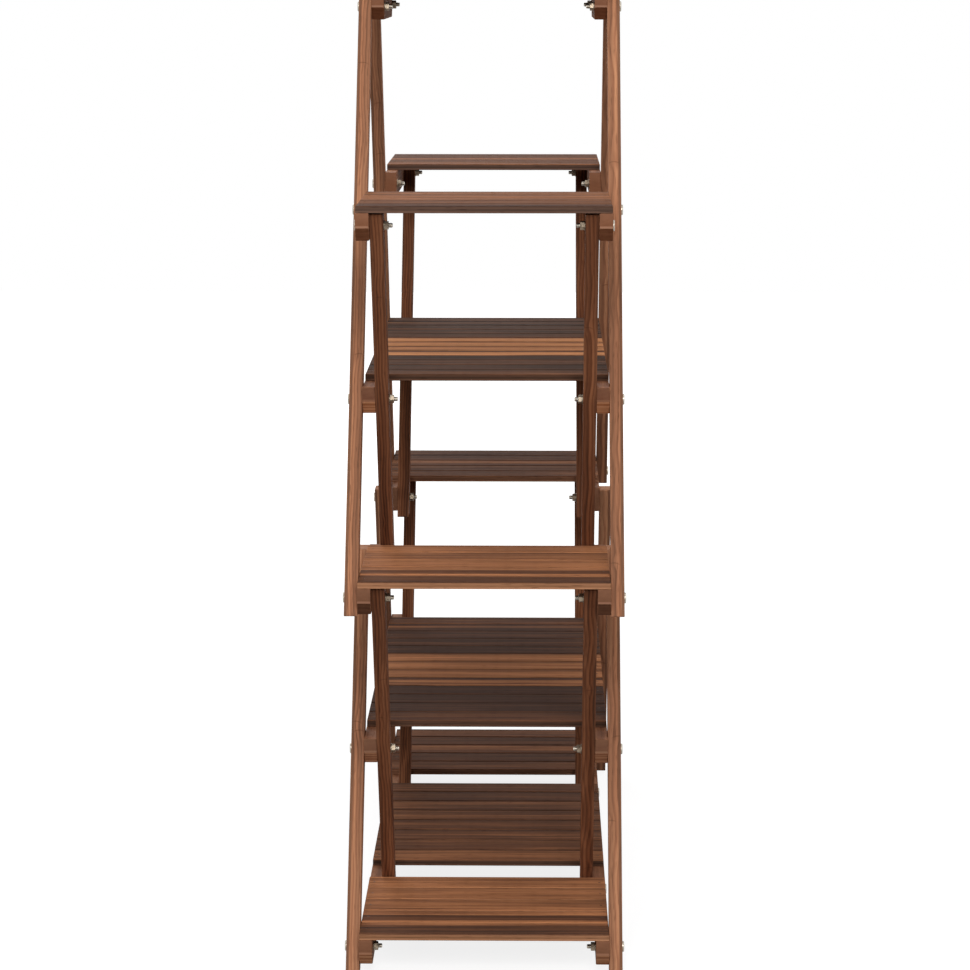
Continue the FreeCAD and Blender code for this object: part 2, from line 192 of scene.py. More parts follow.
class Finish:
    """The nodes of a material, or of the room around the stand, in the making."""

    def __init__(self, owner):
        owner.use_nodes = True
        self.owner = owner
        self.tree = owner.node_tree
        self.tree.nodes.clear()

    def node(self, kind, settings=None, values=None, output=0):
        """Adds a node: its settings first, then the values or links of its sockets."""
        made = self.tree.nodes.new(kind)
        for name, setting in (settings or {}).items():
            if name == "stops":
                self.set_stops(made.color_ramp, setting)
            else:
                setattr(made, name, setting)
        for name, value in (values or {}).items():
            socket = made.inputs[name]
            if isinstance(value, Value):
                self.tree.links.new(value.socket, socket)
            else:
                socket.default_value = value
        return Value(self, made.outputs[output]) if made.outputs else None

    @staticmethod
    def set_stops(ramp, stops):
        while len(ramp.elements) < len(stops):
            ramp.elements.new(1)
        for element, (place, color) in zip(ramp.elements, stops):
            element.position = place
            element.color = color

    def turned(self, rotation=(0, 0, 0), location=(0, 0, 0)):
        """Object coordinates, turned and moved so that a pattern follows one piece."""
        place = self.node("ShaderNodeTexCoord", output="Object")
        return self.node("ShaderNodeMapping", {}, {"Vector": place, "Location": location,
                                                   "Rotation": rotation})

    def parts(self, vector):
        return [self.node("ShaderNodeSeparateXYZ", {}, {"Vector": vector}, axis) for axis in range(3)]

    def joined(self, x, y, z):
        return self.node("ShaderNodeCombineXYZ", {}, {"X": x, "Y": y, "Z": z})

    def stretched(self, parts, waves):
        """A place in a pattern that is finer one way than another, such as along the grain."""
        return self.joined(*[part * count for part, count in zip(parts, waves)])

    def noise(self, vector, seed, detail, roughness=0.5, scale=1.0):
        return self.node("ShaderNodeTexNoise", {"noise_dimensions": "4D"},
                         {"Vector": vector, "W": seed, "Scale": scale, "Detail": detail,
                          "Roughness": roughness})

    def mix(self, share, first, second):
        return self.node("ShaderNodeMix", {"data_type": "RGBA"}, {0: share, 6: first, 7: second}, 2)

    def bump(self, height, distance, strength):
        return self.node("ShaderNodeBump", {}, {"Height": height, "Distance": distance,
                                                "Strength": strength})

    def wood_color(self, tone, tones, margin):
        """The colour of wood whose tone runs from 0, its darkest, to 1, its lightest."""
        dark, middle, light = tones
        stops = ((margin, dark), (0.5, middle), (1 - margin, light))
        return self.node("ShaderNodeValToRGB", {"stops": stops}, {"Fac": tone})

    def lacquered(self, color, fibre, late_wood, pore, roughness, gloss):
        """The finished wood: fibres and early wood stand up a little, and the pores are open."""
        relief = fibre * 0.5 + (1 - late_wood) * 0.35 - pore * 0.9
        return self.surface(Base_Color=color,
                            Roughness=roughness + (fibre - 0.5) * 0.2 + pore * 0.15,
                            Normal=self.bump(relief, RELIEF_DEPTH, 0.5),
                            IOR=LACQUER_IOR, Specular_IOR_Level=gloss)

    def surface(self, **sockets):
        """The finished material: each socket of the shader is named with _ for a space."""
        values = {name.replace("_", " "): value for name, value in sockets.items()}
        shader = self.node("ShaderNodeBsdfPrincipled", {}, values)
        self.node("ShaderNodeOutputMaterial", {}, {"Surface": shader})
        return self.owner


class Grain:
    """How the wood runs in one piece: its centre, the way along the grain and its half sizes."""

    def __init__(self, node, along, through, half_width, half_thickness):
        low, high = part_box(node)
        along = Vector(along).normalized()
        through = Vector(through)
        across = through.cross(along)
        turn = Matrix((across, through, along))
        self.rotation = turn.to_euler()
        self.location = -(turn @ ((low + high) / 2))
        self.half_width = half_width
        self.half_thickness = half_thickness
        self.upward = 1 if across.z > 0 else -1

    def height_above(self, across):
        """Height over the piece's lower face, for a piece that lies level."""
        return across * self.upward + self.half_width


def length_of(first, second):
    return (first * first + second * second).power(0.5)


def late_wood_at(heart, ring_gap, start):
    """The dark late wood of the growth rings: in each ring it starts softly and ends sharply."""
    ring = (heart / ring_gap).math("FRACT")
    return ring.step(start, 0.8) * ring.step(1.0, 0.9)


def near_face(from_middle, half_size):
    """1 close under the faces at either side, 0 farther inside."""
    return from_middle.size().step(half_size - 1.4 * MM, half_size - 0.2 * MM)


def with_knots(through, along, under_edge, drift, knots):
    """Each small knot pushes the rings aside and leaves a thin arched line across the narrow face."""
    lines = None
    for knot_along, knot_through, knot_size in knots:
        aside = through - knot_through
        down = along - knot_along
        distance = (aside * aside + down * down * 0.2 + under_edge * under_edge * 0.04).power(0.5)
        drift = drift + distance.step(knot_size * 3.2, knot_size * 0.3) * (1.1 * MM)
        arch = (down + aside * aside * 55).size()
        line = arch.step(1.1 * MM, 0.2 * MM) * under_edge.step(5 * MM, 1.5 * MM)
        line = line * aside.size().step(knot_size * 4.5, knot_size)
        lines = line if lines is None else lines + line
    return drift, lines


def with_sawn_ends(finish, color, across, along, height, seed, sawn_ends):
    """The sawn ends of a rail: the end faces, the cut under the outer ends and a painted highlight
    along the corner above the cut.
    """
    half_length, cut_side, (end_low, end_high, corner_highlight_tone, chamfer_dark, chamfer_light) = sawn_ends
    end_face = (half_length - along.size()).step(0.5 * MM, 0.2 * MM)
    end_color = finish.mix(height.step(RAIL_CHAMFER, RAIL_HEIGHT), end_low, end_high)
    color = finish.mix(end_face * 0.86, color, end_color)
    # the cut below gets its own banded tone: partly the wood's own, darker on some levels as painted
    # shade where it faces down, paler on others as painted light from the floor
    inward = half_length - (along * cut_side if cut_side else along.size())
    past_cut = inward + height - RAIL_CHAMFER
    bands = finish.joined(across * CHAMFER_BANDS, 2.0, 5.0)
    level = finish.noise(bands, seed + 23, 1.0).step(0.42, 0.58)
    chamfer = past_cut.step(0.5 * MM, 0.1 * MM)
    color = finish.mix(chamfer * 0.85, color, finish.mix(level, chamfer_dark, chamfer_light))
    # painted highlight: a pale line along the corner where the end face meets the cut below it
    corner = past_cut.step(0.05 * MM, 0.4 * MM) * past_cut.step(2.9 * MM, 1.8 * MM)
    return finish.mix(corner * inward.step(1.2 * MM, 0.4 * MM) * 0.9, color, corner_highlight_tone)


def wood(name, grain, seed, tones, wave, ripple, ring_gap, ring_contrast, contrast, heart_side=0,
         rim_shading=0, knots=(), painted_stretches=(), sawn_ends=None):
    """Lacquered brown wood: growth rings cut by the piece, fibres, pores and a few small knots."""
    finish = Finish(bpy.data.materials.new(name))
    place = finish.parts(finish.turned(grain.rotation, grain.location))
    across, through, along = place
    under_edge = grain.half_width - across.size()

    # the grain wanders slowly along the piece and ripples a little
    drift = (finish.noise(finish.stretched(place, LONG_WANDER), seed, 1.5) - 0.5) * wave
    drift = drift + (finish.noise(finish.stretched(place, SHORT_WANDER), seed + 3, 1.0) - 0.5) * ripple
    drift, knot_lines = with_knots(through, along, under_edge, drift, knots)

    # the heart of the tree lies outside the piece, at a place that differs from piece to piece
    heart_across = 34 * MM + 4 * MM * (seed % 5)
    heart_through = 6 * MM * (seed % 4) - 9 * MM + (heart_side if seed % 2 else -heart_side)
    heart = length_of(across + heart_across, through * 1.25 + heart_through) + drift
    late_wood = late_wood_at(heart, ring_gap, 0.25)

    fibre = finish.noise(finish.stretched(place, FIBRES), seed + 7, 2.0)
    drifting = (across + drift, through + drift, along)
    streak = finish.noise(finish.stretched(drifting, STREAKS), seed + 11, 2.0, 0.6)
    pore = finish.noise(finish.stretched(place, PORES), seed + 13, 0.0).step(0.63, 0.72)
    patch = finish.noise(finish.stretched(place, PATCHES), seed + 17, 1.0)

    figure = (streak - 0.5) * 1.5 + (patch - 0.5) * 0.8 - (late_wood - LATE_WOOD_MEAN) * ring_contrast
    tone = 0.5 + figure * contrast
    # painted shade and painted light along stretches of the leg
    for start, end, change in painted_stretches:
        inside = along.step(start - 0.03, start + 0.03) * along.step(end + 0.03, end - 0.03)
        tone = tone + inside * change
    tone = (tone + (fibre - 0.5) * 0.26).within()
    color = finish.wood_color(tone, tones, 0.08)
    color = finish.mix(pore * 0.36, color, PORE_TONE)
    if knot_lines is not None:
        color = finish.mix(knot_lines.within() * 0.4, color, KNOT_TONE)

    # painted shade: the narrow faces are darkened along the outer side and a little towards the inner
    # one, where the light falls off round the edges
    narrow_face = under_edge.step(3 * MM, 0.8 * MM)
    outer_rim_shade = through.step(grain.half_thickness - 4.0 * MM, grain.half_thickness - 2.3 * MM)
    dull = through.step(1.5 * MM, -3.5 * MM) * 0.55
    color = finish.mix(narrow_face * (outer_rim_shade + dull) * rim_shading, color, RIM_SHADE_TONE)

    # the lacquer is thin and a little rubbed on the long edges
    edge = near_face(across, grain.half_width) * near_face(through, grain.half_thickness)
    rub = finish.noise(finish.stretched(place, RUBBING), seed + 19, 2.0)
    color = finish.mix(edge * rub.step(0.42, 0.62) * 0.3, color, tones[-1])

    if sawn_ends:
        height = grain.height_above(across)
        color = with_sawn_ends(finish, color, across, along, height, seed, sawn_ends)
    return finish.lacquered(color, fibre, late_wood, pore, roughness=edge * 0.08 + 0.64, gloss=0.03)


def tone_stops(slats, length):
    """The stops of a ramp over the whole shelf, from the tones of its slats."""
    stops = []
    for number, tones in enumerate(slats):
        back = number * (SLAT_WIDTH + SLAT_GAP)
        if not isinstance(tones, tuple):
            tones = ((0, tones), (1, tones))
        for share, tone in tones:
            stops.append(((back + share * SLAT_WIDTH) / length, (tone, tone, tone, 1)))
    between = [stop for before, stop, after in zip(stops, stops[1:], stops[2:])
               if not before[1] == stop[1] == after[1]]
    return [stops[0], *between, stops[-1]]


def slat_edge_color(finish, up, streak, edge_tones):
    """The sawn front and rear edges of the slats, paler along their middle and darker below."""
    pale, deep = edge_tones
    middle_line = (up + SLAT_THICKNESS * 0.55).size().step(1.3 * MM, 0.3 * MM)
    lower_line = up.step(2.2 * MM - SLAT_THICKNESS, 1.1 * MM - SLAT_THICKNESS)
    share = 0.35 + streak.step(0.35, 0.6) * 0.3 + middle_line * 0.3 - lower_line * 0.4
    return finish.mix(share.within(), deep, pale)


def slat_wood(name, node, seed, slats, tones, edge_tones):
    """Lacquered slats of one shelf: the boards were cut so that light and dark wood make stripes."""
    low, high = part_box(node)
    length = high.x - low.x
    pitch = SLAT_WIDTH + SLAT_GAP
    finish = Finish(bpy.data.materials.new(name))
    place = finish.parts(finish.turned(location=(-low.x, 0, -high.z)))
    forward, sideways, up = place
    number = (forward / pitch).math("FLOOR")
    chance = finish.node("ShaderNodeTexWhiteNoise", {"noise_dimensions": "2D"},
                         {"Vector": finish.joined(number, seed, 0)}, "Value")
    inside = forward - number * pitch

    # each slat has its own heart, a little above it, and its grain wanders from side to side
    wander_forward, wander_sideways, wander_up = SLAT_WANDER
    wander = finish.joined(forward * wander_forward + chance * 9, sideways * wander_sideways,
                           up * wander_up)
    drift = (finish.noise(wander, seed, 2.0) - 0.5) * (10 * MM)
    heart_forward = inside - SLAT_WIDTH * 0.5 + (chance - 0.5) * (50 * MM) + drift
    heart = length_of(up - SLAT_HEART_HEIGHT, heart_forward)
    late_wood = late_wood_at(heart + chance * (20 * MM), SLAT_RING_GAP, 0.2)

    streak_forward, streak_sideways, streak_up = SLAT_STREAKS
    streaks = finish.joined((forward + drift * 0.6) * streak_forward, sideways * streak_sideways,
                            up * streak_up + chance * 30)
    streak = finish.noise(streaks, seed + 5, 2.5, 0.6)
    fibre = finish.noise(finish.stretched(place, SLAT_FIBRES), seed + 7, 2.0)
    pore = finish.noise(finish.stretched(place, SLAT_PORES), seed + 9, 0.0).step(0.63, 0.72)

    # the stripes wander a little, but no board takes its neighbour's tone
    steady = (inside + drift * 0.35).math("MAXIMUM", 0).math("MINIMUM", SLAT_WIDTH)
    stripe = finish.node("ShaderNodeValToRGB", {"stops": tone_stops(slats, length)},
                         {"Fac": (number * pitch + steady) / length})
    stripe = finish.node("ShaderNodeRGBToBW", {}, {"Color": stripe})
    tone = stripe + (streak - 0.5) * 0.95 + (chance - 0.5) * 0.14 - (late_wood - LATE_WOOD_MEAN) * 0.22
    back_edge = inside.step(SLAT_WIDTH * 0.35, 0)
    tone = (tone + (fibre - 0.5) * 0.22 - back_edge * 0.1).within()
    color = finish.wood_color(tone, tones, 0.05)

    # the sawn edges get their own tones, paler than the tops: partly the wood's own, partly painted
    # light and shade, with the tops kept darker and the rear shelves' shaded edges made paler
    edge_side = up.step(-0.4 * MM, -1.3 * MM)
    color = finish.mix(edge_side, color, slat_edge_color(finish, up, streak, edge_tones))
    color = finish.mix(pore * 0.4, color, SLAT_PORE_TONE)
    return finish.lacquered(color, fibre, late_wood, pore, roughness=0.7, gloss=0.015)


def metal(name, color, worn_color, roughness, wear):
    """Plated steel with fine turning marks, small dull patches and worn plating."""
    finish = Finish(bpy.data.materials.new(name))
    place = finish.turned()
    patch = finish.noise(place, 2.0, 3.0, 0.6, WORN_PATCHES)
    marks = finish.noise(finish.stretched(finish.parts(place), TURNING_MARKS), 5.0, 1.0)
    dull = patch.step(0.52, 0.68) * wear
    return finish.surface(Base_Color=finish.mix(dull, color, worn_color),
                          Metallic=1.0 - dull * 0.3,
                          Roughness=roughness + dull * 0.3 + (marks - 0.5) * 0.14,
                          Normal=finish.bump(marks + patch * 0.4, 0.02 * MM, 0.4))


# dark, middle and light tone of each wood
OUTER_LEG_TONES = (tint(114, 76, 56), tint(166, 113, 83), tint(196, 140, 104))
# the inner legs are darker, partly a darker wood and partly painted shade, as their faces turn
# downward
INNER_LEG_SHADED_TONES = (tint(64, 37, 25), tint(114, 69, 46), tint(152, 99, 68))
RAIL_TONES = (tint(94, 60, 43), tint(138, 92, 67), tint(170, 120, 88))
SLAT_TONES = (tint(68, 49, 41), tint(116, 76, 54), tint(190, 127, 86))
GOLDEN_SLAT_TONES = (tint(54, 40, 33), tint(114, 75, 53), tint(210, 142, 94))

# pale and deep tone of the slats' sawn edges
PALE_EDGE_TONES = (tint(130, 90, 64), tint(184, 131, 97))
DARK_EDGE_TONES = (tint(64, 46, 37), tint(108, 77, 60))
GREY_EDGE_TONES = (tint(70, 54, 46), tint(112, 84, 70))
# painted light: the rear shelves' front edges stand in shade and get these paler tones
PAINTED_LIGHT_EDGE_TONES = (tint(118, 82, 62), tint(168, 120, 92))

PORE_TONE = tint(44, 27, 20)
SLAT_PORE_TONE = tint(40, 26, 20)
KNOT_TONE = tint(72, 44, 31)
# painted shade along the legs' narrow faces
RIM_SHADE_TONE = tint(98, 71, 56)

# the lower and upper tone of a rail's sawn end, its painted corner highlight, and the dark and light
# tone of its chamfer; the darker end faces of the second and fourth levels are painted shade from the
# shelf above, and the chamfers are partly the wood's own tone, partly painted shade where they face
# down and painted light at the second, fourth and bottom levels, lit from the floor
RAIL_END_LIGHT_AND_SHADE = {
    "top": (tint(122, 80, 58), tint(134, 92, 71), tint(153, 112, 90),
            tint(96, 55, 34), tint(106, 62, 40)),
    "fifth_level": (tint(121, 78, 55), tint(135, 92, 69), tint(157, 114, 90),
                    tint(98, 57, 35), tint(110, 66, 44)),
    "fourth_level": (tint(104, 66, 49), tint(112, 75, 57), tint(128, 88, 66),
                     tint(168, 108, 72), tint(206, 146, 106)),
    "third_level": (tint(112, 76, 56), tint(126, 87, 66), tint(146, 104, 82),
                    tint(78, 48, 34), tint(96, 62, 45)),
    "second_level": (tint(106, 72, 55), tint(116, 82, 63), tint(134, 98, 76),
                     tint(150, 100, 72), tint(190, 138, 104)),
    "bottom": (tint(116, 78, 57), tint(132, 90, 67), tint(152, 108, 83),
               tint(160, 104, 72), tint(204, 146, 108)),
}

# how the grain of each wood wanders and how strongly it shows
LEG_GRAIN = {"wave": 7.65 * MM, "ripple": 9 * MM, "ring_gap": LEG_RING_GAP, "heart_side": 30 * MM}
OUTER_LEG_GRAIN = {"contrast": 0.68, "ring_contrast": 0.42, "rim_shading": 0.7}
INNER_LEG_GRAIN = {"contrast": 0.85, "ring_contrast": 0.34, "rim_shading": 0.25}
RAIL_GRAIN = {"wave": 13.6 * MM, "ripple": 3 * MM, "ring_gap": RAIL_RING_GAP, "contrast": 1.0,
              "ring_contrast": 0.16}
KNOTS_IN_A_LEG = 2
LEAN_ROUNDS = 30

# stretches of the outer legs painted darker or lighter, as painted shade and painted light for the
# shading
# under the shelves: start and end from the leg's middle, and the change of tone
PAINTED_LIGHT_STRETCHES = {("lower_outer", "left"): ((-0.3, -0.06, 0.14), (-0.01, 0.1, -0.3), (0.14, 0.3, 0.14)),
             ("lower_outer", "right"): ((-0.06, 0.05, -0.12), (0.1, 0.3, 0.2)),
             ("upper_outer", "left"): ((0.02, 0.09, 0.22),),
             ("upper_outer", "right"): ((0.03, 0.1, 0.12), (0.29, 0.5, -0.12))}


# wooden pieces
def dress(piece, material):
    piece.data.materials.clear()
    piece.data.materials.append(material)


def lean_of(node, width):
    """How far a leg leans from upright, from its box: both ends are cut level."""
    low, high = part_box(node)
    lean = 0.5
    for _ in range(LEAN_ROUNDS):
        lean = math.atan((high.x - low.x - width / math.cos(lean)) / (high.z - low.z))
    return lean


def knots_for(chance, half_length):
    """Place along the leg, place through it and size of each knot."""
    knots = []
    for _ in range(KNOTS_IN_A_LEG):
        knots.append((chance.uniform(-0.9, 0.9) * half_length, chance.uniform(-5, 5) * MM,
                      chance.uniform(1.4, 2.4) * MM))
    return knots


chance = random.Random(41)
seed = 0
for side_name, side in (("left", -1), ("right", 1)):
    for end_name, end in (("front", 1), ("rear", -1)):
        for leg in ("upper_outer", "lower_outer", "upper_inner", "lower_inner"):
            node = f"{leg}_leg_{end_name}_{side_name}"
            seed += 1
            toward, tones, own_grain = end, INNER_LEG_SHADED_TONES, INNER_LEG_GRAIN
            if "outer" in leg:
                toward, tones, own_grain = -end, OUTER_LEG_TONES, OUTER_LEG_GRAIN
            lean = lean_of(node, LEG_WIDTH)
            grain = Grain(node, (toward * math.sin(lean), 0, math.cos(lean)), (0, side, 0),
                          LEG_WIDTH / 2, LEG_THICKNESS / 2)
            low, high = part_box(node)
            half_length = (high.z - low.z) / 2 / math.cos(lean)
            dress(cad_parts[node],
                  wood(f"{node}_wood", grain, seed, tones, knots=knots_for(chance, half_length),
                       painted_stretches=PAINTED_LIGHT_STRETCHES.get((leg, side_name), ()), **LEG_GRAIN, **own_grain))

RAILS = ["bottom", "second_level", "fourth_level", "top", "third_level_front", "third_level_rear",
         "fifth_level_front", "fifth_level_rear"]
for side_name, side in (("left", -1), ("right", 1)):
    for rail in RAILS:
        node = f"{rail}_rail_{side_name}"
        seed += 1
        grain = Grain(node, (1, 0, 0), (0, side, 0), RAIL_HEIGHT / 2, LEG_THICKNESS / 2)
        low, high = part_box(node)
        # 1 or -1: only the front or the rear end is cut away below; 0: both ends are
        cut_side = 1 if "front" in rail else -1 if "rear" in rail else 0
        level = rail.removesuffix("_front").removesuffix("_rear")
        dress(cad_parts[node],
              wood(f"{node}_wood", grain, seed, RAIL_TONES, **RAIL_GRAIN,
                   sawn_ends=((high.x - low.x) / 2, cut_side, RAIL_END_LIGHT_AND_SHADE[level])))

# how light each slat is, from the rear of a shelf to its front: a slat is one tone, or several
# tones, each at a share of its width from its own back edge
DARK, WARM, MIXED, PALE = 0.13, 0.32, 0.45, 0.78


def long_slats(pale, deep=DARK):
    """A long shelf's slats: dark boards with a band of pale ones in the middle."""
    fading = ((0, 0.55), (0.3, pale), (0.85, pale), (1, 0.72))
    streaked = ((0, deep), (0.25, deep), (0.33, 0.5), (0.5, 0.5), (0.58, deep), (1, deep))
    return (WARM, streaked, deep, deep + 0.04, deep, fading, fading, fading,
            ((0, WARM), (0.28, WARM), (0.36, pale), (1, pale)), deep, deep, deep,
            ((0, 0.22), (1, 0.42)))


END_SLATS = (PALE, 0.72, 0.8,
             ((0, 0.84), (0.3, 0.8), (0.44, 0.42), (0.8, 0.38), (0.93, 0.84), (1, 0.84)),
             ((0, 0.84), (0.14, 0.8), (0.3, 0.28), (1, 0.24)))
UPPER_END_SLATS = (0.5, 0.58, ((0, 0.6), (1, MIXED)), MIXED, ((0, 0.4), (0.3, 0.16), (1, 0.08)))
REAR_SLATS = (0.36, WARM, ((0, 0.55), (0.6, 0.6), (0.8, WARM)), 0.36, 0.55)
MIDDLE_SLATS = (0.44, 0.34, 0.56, 0.5, 0.4, ((0, 0.34), (0.5, 0.52)), 0.42, 0.56)
TOP_SLATS = (0.6, PALE, 0.22, 0.7, 0.5)
SHELVES = {"bottom_front_shelf": (END_SLATS, SLAT_TONES, PALE_EDGE_TONES),
           "bottom_middle_shelf": (MIDDLE_SLATS, SLAT_TONES, DARK_EDGE_TONES),
           "bottom_rear_shelf": (REAR_SLATS, SLAT_TONES, PAINTED_LIGHT_EDGE_TONES),
           "second_level_shelf": (long_slats(0.8), SLAT_TONES, DARK_EDGE_TONES),
           "third_level_front_shelf": (END_SLATS, SLAT_TONES, PALE_EDGE_TONES),
           "third_level_rear_shelf": (REAR_SLATS, SLAT_TONES, PAINTED_LIGHT_EDGE_TONES),
           "fourth_level_shelf": (long_slats(0.92, 0.2), GOLDEN_SLAT_TONES, DARK_EDGE_TONES),
           "fifth_level_front_shelf": (UPPER_END_SLATS, SLAT_TONES, GREY_EDGE_TONES),
           "fifth_level_rear_shelf": (REAR_SLATS, SLAT_TONES, GREY_EDGE_TONES),
           "top_shelf": (TOP_SLATS, SLAT_TONES, DARK_EDGE_TONES)}
for node, (slats, tones, edge_tones) in SHELVES.items():
    seed += 1
    dress(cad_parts[node], slat_wood(f"{node}_wood", node, seed, slats, tones, edge_tones))


# bolts, nuts and washers
def choose_nothing():
    if bpy.context.mode != "OBJECT":
        bpy.ops.object.mode_set(mode="OBJECT")
    bpy.ops.object.select_all(action="DESELECT")


def choose(piece):
    choose_nothing()
    piece.hide_viewport = False
    piece.select_set(True)
    bpy.context.view_layer.objects.active = piece


def added(name):
    """The piece that the last primitive made, with its name and its place in its mesh."""
    piece = bpy.context.object
    piece.name = name
    piece.data.name = name
    bpy.ops.object.transform_apply(location=True, rotation=True, scale=True)
    return piece


def select_faces(piece, wanted):
    """Leaves exactly the wanted faces selected, in edit mode."""
    bpy.ops.object.mode_set(mode="EDIT")
    bpy.ops.mesh.select_mode(type="FACE")
    bpy.ops.mesh.select_all(action="DESELECT")
    bpy.ops.object.mode_set(mode="OBJECT")
    for face in piece.data.polygons:
        face.select = wanted(face)
    bpy.ops.object.mode_set(mode="EDIT")


def apply_modifier(piece, kind, **settings):
    choose(piece)
    modifier = piece.modifiers.new(kind.title(), kind)
    for name, value in settings.items():
        setattr(modifier, name, value)
    bpy.ops.object.modifier_apply(modifier=modifier.name)


def rod(name, radius, start, end, sides=ROUND_SIDES):
    """A closed round or many-sided bar along Y, from start to end."""
    choose_nothing()
    bpy.ops.mesh.primitive_cylinder_add(vertices=sides, radius=radius, depth=end - start,
                                        location=(0, (start + end) / 2, 0),
                                        rotation=(math.pi / 2, 0, 0))
    return added(name)


def hexagon(name, flats, start, end):
    """A closed six-sided bar along Y, as wide across its flats as given."""
    return rod(name, flats / math.sqrt(3), start, end, sides=6)


def cut_away(piece, tool):
    apply_modifier(piece, "BOOLEAN", operation="DIFFERENCE", object=tool, solver="EXACT")
    bpy.data.objects.remove(tool)


def join_all(name, pieces):
    choose_nothing()
    for piece in pieces:
        piece.select_set(True)
    bpy.context.view_layer.objects.active = pieces[0]
    bpy.ops.object.join()
    whole = bpy.context.object
    whole.name = name
    whole.data.name = name
    return whole


def domed_head(thickness):
    """The low round head with its rolled rim and its six-sided socket; its seat is at Y = 0."""
    head = rod("head", HEAD_RADIUS, 0, thickness)
    select_faces(head, lambda face: face.normal.y > 0.9)
    bpy.ops.mesh.bevel(offset=thickness * HEAD_DOME_SHARE, segments=HEAD_DOME_STEPS,
                       profile=HEAD_DOME_PROFILE)
    socket = hexagon("socket", SOCKET_FLATS, thickness - SOCKET_DEPTH, thickness + SOCKET_DEPTH)
    cut_away(head, socket)
    return head


def rolled_thread(tip):
    """The thread along Y whose last turn ends just short of the tip; both of its ends are closed."""
    root = BOLT_RADIUS - THREAD_DEPTH
    start = (root, tip + THREAD_RUNOUT, 0)
    # one turn's outline: how far out each side goes, and its share of the pitch
    steps = ((0, 0.1), (THREAD_DEPTH, 0.34), (0, 0.12), (-THREAD_DEPTH, 0.34), (0, 0.1))
    choose_nothing()
    bpy.ops.mesh.primitive_plane_add(size=root, location=start)
    thread = added("thread")
    bpy.ops.object.mode_set(mode="EDIT")
    bpy.ops.mesh.select_all(action="SELECT")
    bpy.ops.mesh.merge(type="CENTER")
    bpy.ops.mesh.select_mode(type="VERT")
    bpy.ops.mesh.select_all(action="SELECT")
    for outward, share in steps:
        move = (outward, share * THREAD_PITCH, 0)
        bpy.ops.mesh.extrude_vertices_move(TRANSFORM_OT_translate={"value": move})
    bpy.ops.object.mode_set(mode="OBJECT")
    apply_modifier(thread, "SCREW", axis="Y", angle=2 * math.pi, steps=THREAD_SIDES,
                   render_steps=THREAD_SIDES, iterations=THREAD_TURNS, screw_offset=THREAD_PITCH)
    bpy.ops.object.mode_set(mode="EDIT")
    bpy.ops.mesh.select_all(action="SELECT")
    bpy.ops.mesh.remove_doubles(threshold=SAME_POINT)
    bpy.ops.mesh.select_all(action="SELECT")
    bpy.ops.mesh.fill_holes(sides=0)
    bpy.ops.mesh.select_all(action="SELECT")
    bpy.ops.mesh.normals_make_consistent(inside=False)
    bpy.ops.object.mode_set(mode="OBJECT")
    return thread


def bolt(length, head_thickness):
    """A bolt along Y: head above Y = 0, plain shank, rolled thread and a chamfered tip below."""
    threaded = THREAD_TURNS * THREAD_PITCH
    shank = rod("shank", BOLT_RADIUS, threaded - length, head_thickness * SHANK_IN_HEAD)
    tip = rod("tip", BOLT_RADIUS - THREAD_DEPTH + CORE_OVERLAP, -length,
              threaded * CORE_PAST_THREAD - length)
    select_faces(tip, lambda face: face.normal.y < -0.9)
    bpy.ops.mesh.bevel(offset=TIP_CHAMFER, segments=1)
    bpy.ops.object.mode_set(mode="OBJECT")
    return join_all("bolt", [domed_head(head_thickness), shank, rolled_thread(-length), tip])


def nut(height):
    """A six-sided nut around Y whose corners are turned off to a cone at both faces."""
    body = hexagon("nut", NUT_FLATS, -height / 2, height / 2)
    corner = NUT_FLATS / math.sqrt(3) + NUT_BLANK_ROOM
    chamfer = (corner - NUT_FLATS / 2) * math.tan(NUT_CORNER_CONE)
    blank = rod("blank", corner, chamfer - height / 2, height / 2 - chamfer)
    face_share = NUT_FLATS / 2 * NUT_FACE_SHARE / corner
    for toward in (1, -1):
        select_faces(blank, lambda face: face.normal.y * toward > 0.9)
        move = (0, toward * chamfer, 0)
        bpy.ops.mesh.extrude_region_move(TRANSFORM_OT_translate={"value": move})
        bpy.ops.transform.resize(value=(face_share, 1, face_share))
    bpy.ops.object.mode_set(mode="OBJECT")
    apply_modifier(body, "BOOLEAN", operation="INTERSECT", object=blank, solver="EXACT")
    bpy.data.objects.remove(blank)
    cut_away(body, rod("bore", BOLT_RADIUS - THREAD_DEPTH * NUT_THREAD_SHARE, -height, height))
    return body


def washer(radius, thickness):
    """A punched flat washer around Y, its edges a little rounded."""
    ring = rod("washer", radius, -thickness / 2, thickness / 2)
    select_faces(ring, lambda face: abs(face.normal.y) > 0.9)
    bpy.ops.mesh.inset(thickness=radius * (1 - WASHER_HOLE_SHARE), use_individual=True)
    bpy.ops.mesh.bridge_edge_loops()
    bpy.ops.object.mode_set(mode="OBJECT")
    apply_modifier(ring, "BEVEL", width=WASHER_ROUNDING, segments=2, limit_method="ANGLE")
    return ring


def solids_of(node):
    """The box of each separate solid in a node, found on a merged copy of its mesh."""
    choose(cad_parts[node])
    bpy.ops.object.duplicate()
    bpy.ops.object.mode_set(mode="EDIT")
    bpy.ops.mesh.select_all(action="SELECT")
    bpy.ops.mesh.remove_doubles(threshold=SAME_POINT)
    bpy.ops.mesh.separate(type="LOOSE")
    bpy.ops.object.mode_set(mode="OBJECT")
    boxes = []
    for piece in list(bpy.context.selected_objects):
        corners = [vertex.co for vertex in piece.data.vertices]
        low = Vector([min(corner[axis] for corner in corners) for axis in range(3)])
        high = Vector([max(corner[axis] for corner in corners) for axis in range(3)])
        boxes.append((low, high))
        bpy.data.objects.remove(piece)
    return sorted(boxes, key=lambda box: [round(number, 4) for number in box[0]])


